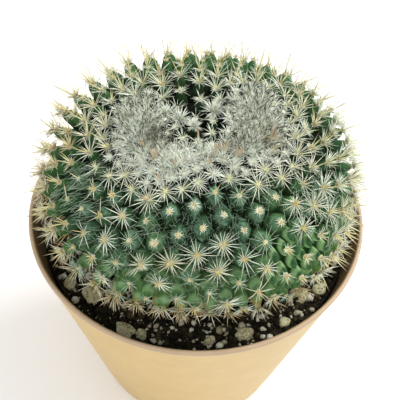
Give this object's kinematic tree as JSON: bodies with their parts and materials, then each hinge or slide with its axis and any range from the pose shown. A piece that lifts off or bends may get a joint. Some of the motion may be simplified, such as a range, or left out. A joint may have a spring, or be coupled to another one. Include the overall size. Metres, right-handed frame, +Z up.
{
  "type": "potted cactus",
  "caption": "Globular mammillaria with a divided white-bristled tip and spiny tubercles, in a tapered plastic pot of peat and pumice.",
  "frame": {"origin": "centre of the pot's foot, on the surface that it stands on", "axes": "+Z up through the pot and the plant; -Y is the front, where the two crowns lie"},
  "size_m": [0.08, 0.08, 0.0937],
  "materials": {
    "pot_plastic": "thin matte pale cream plastic with a pinkish-beige lip",
    "peat": "dark damp peat crumbs with fine white grit",
    "stem_skin": "waxy dark green tubercles, paler and yellower low on the flanks",
    "spines": "fine white bristles, with yellow to tan central spines",
    "pumice": "rough pale grey-beige pumice with small pores"
  },
  "bodies": {
    "root": {"pot": "pot_plastic", "soil": "peat", "stem": "stem_skin", "crown_spines": "spines", "pumice_01": "pumice", "pumice_02": "pumice", "pumice_03": "pumice", "pumice_04": "pumice", "pumice_05": "pumice", "pumice_06": "pumice", "pumice_07": "pumice", "pumice_08": "pumice", "pumice_09": "pumice", "pumice_10": "pumice", "pumice_11": "pumice", "pumice_12": "pumice", "pumice_13": "pumice"}
  },
  "joints": []
}
